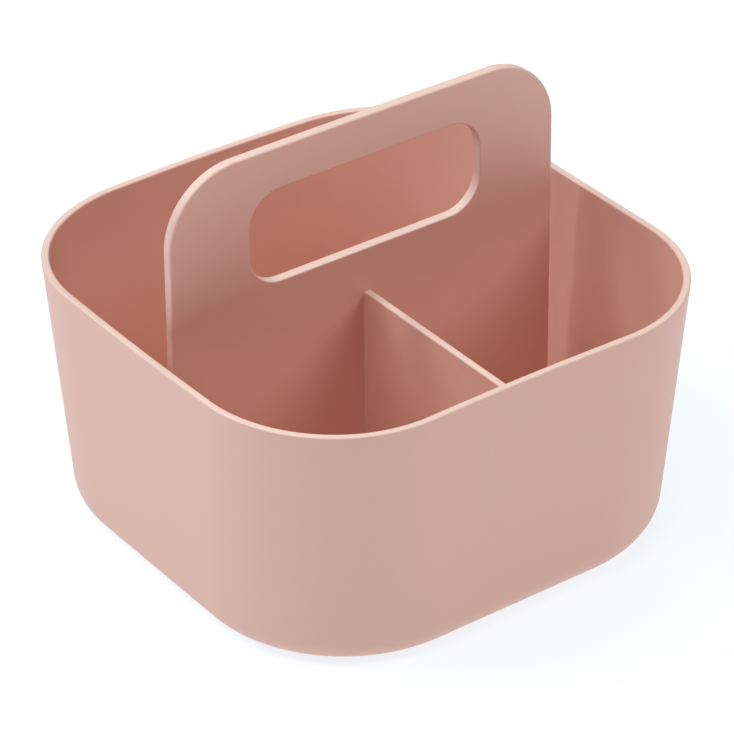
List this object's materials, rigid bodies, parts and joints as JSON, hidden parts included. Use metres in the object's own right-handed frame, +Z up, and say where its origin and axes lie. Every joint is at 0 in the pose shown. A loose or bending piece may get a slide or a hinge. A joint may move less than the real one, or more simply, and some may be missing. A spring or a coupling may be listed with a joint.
{
  "type": "carry caddy",
  "caption": "Square open carry caddy with rounded corners, an upright handle panel with a hand hole, and a cross divider in front of it.",
  "frame": {"origin": "centre of the footprint, on the plane that the caddy stands on", "axes": "+Z up; the handle panel lies along X; -Y is the front, with the two small compartments; +Y is the rear, with the long one"},
  "size_m": [0.2, 0.2, 0.1635],
  "materials": {
    "bin_plastic": "dusty rose moulded polypropylene, fine matte",
    "panel_plastic": "dusty rose moulded polypropylene, fine matte",
    "divider_plastic": "dusty rose moulded polypropylene, fine matte",
    "screw_steel": "zinc plated"
  },
  "bodies": {
    "root": {"bin": "bin_plastic", "handle_panel": "panel_plastic", "cross_divider": "divider_plastic", "panel_screw_left": "screw_steel", "panel_screw_right": "screw_steel", "divider_screw": "screw_steel"}
  },
  "joints": []
}
